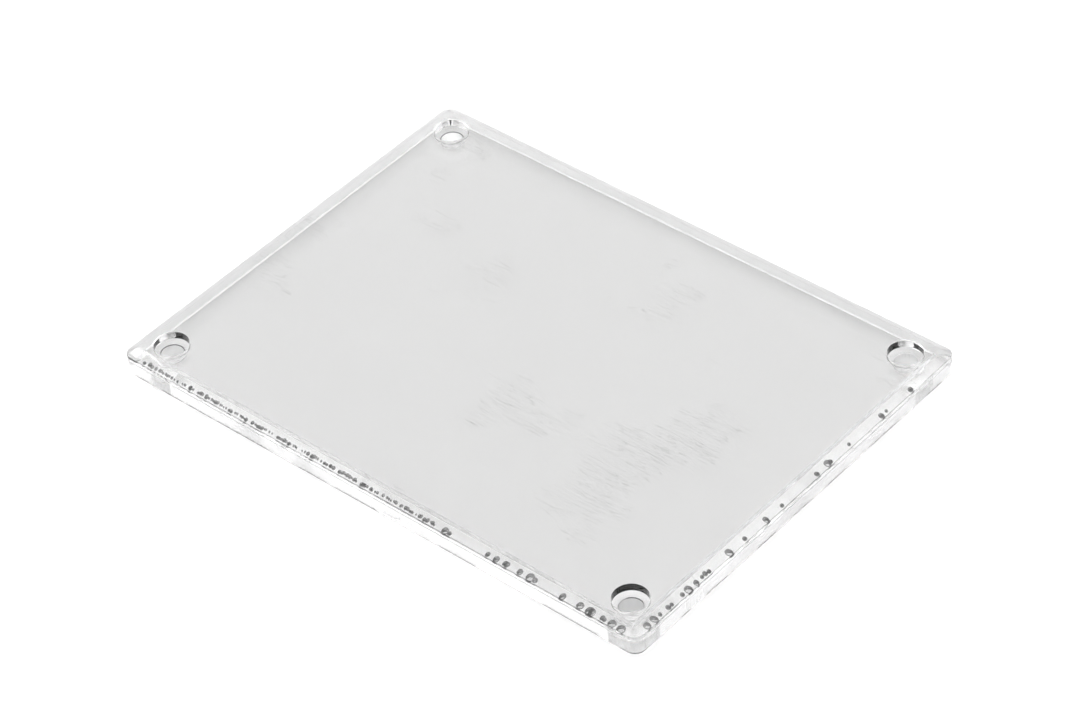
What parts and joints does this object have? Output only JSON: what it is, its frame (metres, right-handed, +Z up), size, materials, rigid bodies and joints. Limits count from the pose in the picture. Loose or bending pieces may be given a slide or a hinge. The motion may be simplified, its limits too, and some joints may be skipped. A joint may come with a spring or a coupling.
{
  "type": "negative carrier",
  "caption": "Clear rectangular film carrier: a bevelled cover sheet with corner holes lifts off a drilled base sheet with a thin sealed rim.",
  "frame": {"origin": "centre of the underside of the base sheet", "axes": "+X along the long side, +Y along the short side, +Z up from the base sheet to the cover sheet"},
  "size_m": [0.112, 0.083, 0.005],
  "materials": {
    "clear_base_sheet": "polished clear acrylic",
    "clear_cover_sheet": "polished clear acrylic",
    "seal_rim": "clear set adhesive with trapped air bubbles"
  },
  "bodies": {
    "base": {"base_plate": "clear_base_sheet", "front_seal_strip": "seal_rim", "back_seal_strip": "seal_rim", "left_seal_strip": "seal_rim", "right_seal_strip": "seal_rim"},
    "cover": {"cover_plate": "clear_cover_sheet"}
  },
  "joints": [
    {"name": "cover_lift", "type": "slide", "parent": "base", "child": "cover", "axis": [0, 0, 1], "range_m": [0, 0.025]}
  ]
}
